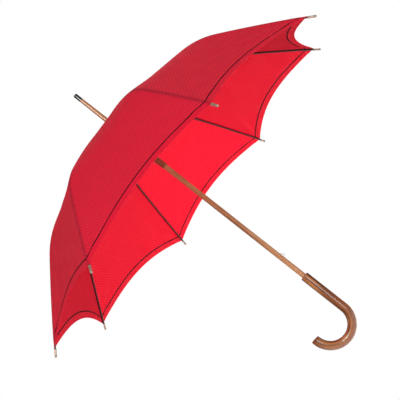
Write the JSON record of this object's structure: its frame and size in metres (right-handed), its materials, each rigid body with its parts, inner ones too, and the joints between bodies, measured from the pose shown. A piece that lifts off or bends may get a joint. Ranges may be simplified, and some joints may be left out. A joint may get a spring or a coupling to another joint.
{
  "type": "stick umbrella",
  "caption": "Open stick umbrella with a wooden stick, a hooked handle, hinged steel ribs and stretchers on a sliding runner, and a domed fabric canopy.",
  "frame": {"origin": "middle of the straight grip, on the stick's axis", "axes": "+Z along the stick towards the canopy and the ferrule, the handle's hook bends towards -X"},
  "size_m": [0.9586, 0.9586, 0.9084],
  "materials": {
    "stick_wood": "varnished",
    "handle_wood": "glossy lacquer",
    "dark_metal": "satin black",
    "steel": "satin",
    "runner_metal": "brown enamel",
    "rib_steel": "black enamel",
    "tip_metal": "nickel on brass",
    "canopy_fabric": "woven"
  },
  "bodies": {
    "stick": {"shaft": "stick_wood", "handle": "handle_wood", "ferrule_cap": "dark_metal", "crown_notch": "steel", "notch_wire": "steel", "notch_pin": "steel", "rosette": "canopy_fabric", "runner_stop": "steel", "top_catch_pin": "steel", "bottom_catch_pin": "steel"},
    "runner": {"runner": "runner_metal", "runner_wire": "steel"},
    "top_catch": {"top_catch": "steel"},
    "bottom_catch": {"bottom_catch": "steel"},
    "rib_1": {"rib_1": "rib_steel", "rib_tip_1": "tip_metal", "rivet_1": "steel", "canopy_1": "canopy_fabric"},
    "stretcher_1": {"stretcher_1": "rib_steel"},
    "rib_2": {"rib_2": "rib_steel", "rib_tip_2": "tip_metal", "rivet_2": "steel", "canopy_2": "canopy_fabric"},
    "stretcher_2": {"stretcher_2": "rib_steel"},
    "rib_3": {"rib_3": "rib_steel", "rib_tip_3": "tip_metal", "rivet_3": "steel", "canopy_3": "canopy_fabric"},
    "stretcher_3": {"stretcher_3": "rib_steel"},
    "rib_4": {"rib_4": "rib_steel", "rib_tip_4": "tip_metal", "rivet_4": "steel", "canopy_4": "canopy_fabric"},
    "stretcher_4": {"stretcher_4": "rib_steel"},
    "rib_5": {"rib_5": "rib_steel", "rib_tip_5": "tip_metal", "rivet_5": "steel", "canopy_5": "canopy_fabric"},
    "stretcher_5": {"stretcher_5": "rib_steel"},
    "rib_6": {"rib_6": "rib_steel", "rib_tip_6": "tip_metal", "rivet_6": "steel", "canopy_6": "canopy_fabric"},
    "stretcher_6": {"stretcher_6": "rib_steel"},
    "rib_7": {"rib_7": "rib_steel", "rib_tip_7": "tip_metal", "rivet_7": "steel", "canopy_7": "canopy_fabric"},
    "stretcher_7": {"stretcher_7": "rib_steel"},
    "rib_8": {"rib_8": "rib_steel", "rib_tip_8": "tip_metal", "rivet_8": "steel", "canopy_8": "canopy_fabric"},
    "stretcher_8": {"stretcher_8": "rib_steel"}
  },
  "joints": [
    {"name": "runner_slide", "type": "slide", "parent": "stick", "child": "runner", "axis": [0, 0, -1], "range_m": [0, 0.36899], "deforming": ["top_catch", "bottom_catch"]},
    {"name": "rib_1_fold", "type": "hinge", "parent": "stick", "child": "rib_1", "pos_m": [0.00961, -0.00398, 0.67122], "axis": [0.3827, 0.9239, 0], "range_deg": [0, 59.27], "deforming": ["canopy_1"]},
    {"name": "stretcher_1_fold", "type": "hinge", "parent": "rib_1", "child": "stretcher_1", "pos_m": [0.24348, -0.10085, 0.60366], "axis": [0.3827, 0.9239, 0], "range_deg": [-118.55, 0]},
    {"name": "rib_2_fold", "type": "hinge", "parent": "stick", "child": "rib_2", "pos_m": [0.00961, 0.00398, 0.67122], "axis": [-0.3827, 0.9239, 0], "range_deg": [0, 59.27], "deforming": ["canopy_2"]},
    {"name": "stretcher_2_fold", "type": "hinge", "parent": "rib_2", "child": "stretcher_2", "pos_m": [0.24348, 0.10085, 0.60366], "axis": [-0.3827, 0.9239, 0], "range_deg": [-118.55, 0]},
    {"name": "rib_3_fold", "type": "hinge", "parent": "stick", "child": "rib_3", "pos_m": [0.00398, 0.00961, 0.67122], "axis": [-0.9239, 0.3827, 0], "range_deg": [0, 59.27], "deforming": ["canopy_3"]},
    {"name": "stretcher_3_fold", "type": "hinge", "parent": "rib_3", "child": "stretcher_3", "pos_m": [0.10085, 0.24348, 0.60366], "axis": [-0.9239, 0.3827, 0], "range_deg": [-118.55, 0]},
    {"name": "rib_4_fold", "type": "hinge", "parent": "stick", "child": "rib_4", "pos_m": [-0.00398, 0.00961, 0.67122], "axis": [-0.9239, -0.3827, 0], "range_deg": [0, 59.27], "deforming": ["canopy_4"]},
    {"name": "stretcher_4_fold", "type": "hinge", "parent": "rib_4", "child": "stretcher_4", "pos_m": [-0.10085, 0.24348, 0.60366], "axis": [-0.9239, -0.3827, 0], "range_deg": [-118.55, 0]},
    {"name": "rib_5_fold", "type": "hinge", "parent": "stick", "child": "rib_5", "pos_m": [-0.00961, 0.00398, 0.67122], "axis": [-0.3827, -0.9239, 0], "range_deg": [0, 59.27], "deforming": ["canopy_5"]},
    {"name": "stretcher_5_fold", "type": "hinge", "parent": "rib_5", "child": "stretcher_5", "pos_m": [-0.24348, 0.10085, 0.60366], "axis": [-0.3827, -0.9239, 0], "range_deg": [-118.55, 0]},
    {"name": "rib_6_fold", "type": "hinge", "parent": "stick", "child": "rib_6", "pos_m": [-0.00961, -0.00398, 0.67122], "axis": [0.3827, -0.9239, 0], "range_deg": [0, 59.27], "deforming": ["canopy_6"]},
    {"name": "stretcher_6_fold", "type": "hinge", "parent": "rib_6", "child": "stretcher_6", "pos_m": [-0.24348, -0.10085, 0.60366], "axis": [0.3827, -0.9239, 0], "range_deg": [-118.55, 0]},
    {"name": "rib_7_fold", "type": "hinge", "parent": "stick", "child": "rib_7", "pos_m": [-0.00398, -0.00961, 0.67122], "axis": [0.9239, -0.3827, 0], "range_deg": [0, 59.27], "deforming": ["canopy_7"]},
    {"name": "stretcher_7_fold", "type": "hinge", "parent": "rib_7", "child": "stretcher_7", "pos_m": [-0.10085, -0.24348, 0.60366], "axis": [0.9239, -0.3827, 0], "range_deg": [-118.55, 0]},
    {"name": "rib_8_fold", "type": "hinge", "parent": "stick", "child": "rib_8", "pos_m": [0.00398, -0.00961, 0.67122], "axis": [0.9239, 0.3827, 0], "range_deg": [0, 59.27], "deforming": ["canopy_8"]},
    {"name": "stretcher_8_fold", "type": "hinge", "parent": "rib_8", "child": "stretcher_8", "pos_m": [0.10085, -0.24348, 0.60366], "axis": [0.9239, 0.3827, 0], "range_deg": [-118.55, 0]},
    {"name": "top_catch_press", "type": "hinge", "parent": "stick", "child": "top_catch", "pos_m": [-0.0022, 0, 0.50309], "axis": [0, 1, 0], "range_deg": [0, 20], "stiffness_Nm_per_rad": 0.02},
    {"name": "bottom_catch_press", "type": "hinge", "parent": "stick", "child": "bottom_catch", "pos_m": [0.0022, 0, 0.1426], "axis": [0, 1, 0], "range_deg": [0, 20], "stiffness_Nm_per_rad": 0.02}
  ],
  "couplings": [
    {"joint": "rib_1_fold", "follows": "runner_slide", "rad_per_m": 2.8013},
    {"joint": "stretcher_1_fold", "follows": "runner_slide", "rad_per_m": -5.6026},
    {"joint": "rib_2_fold", "follows": "runner_slide", "rad_per_m": 2.8013},
    {"joint": "stretcher_2_fold", "follows": "runner_slide", "rad_per_m": -5.6026},
    {"joint": "rib_3_fold", "follows": "runner_slide", "rad_per_m": 2.8013},
    {"joint": "stretcher_3_fold", "follows": "runner_slide", "rad_per_m": -5.6026},
    {"joint": "rib_4_fold", "follows": "runner_slide", "rad_per_m": 2.8013},
    {"joint": "stretcher_4_fold", "follows": "runner_slide", "rad_per_m": -5.6026},
    {"joint": "rib_5_fold", "follows": "runner_slide", "rad_per_m": 2.8013},
    {"joint": "stretcher_5_fold", "follows": "runner_slide", "rad_per_m": -5.6026},
    {"joint": "rib_6_fold", "follows": "runner_slide", "rad_per_m": 2.8013},
    {"joint": "stretcher_6_fold", "follows": "runner_slide", "rad_per_m": -5.6026},
    {"joint": "rib_7_fold", "follows": "runner_slide", "rad_per_m": 2.8013},
    {"joint": "stretcher_7_fold", "follows": "runner_slide", "rad_per_m": -5.6026},
    {"joint": "rib_8_fold", "follows": "runner_slide", "rad_per_m": 2.8013},
    {"joint": "stretcher_8_fold", "follows": "runner_slide", "rad_per_m": -5.6026}
  ]
}
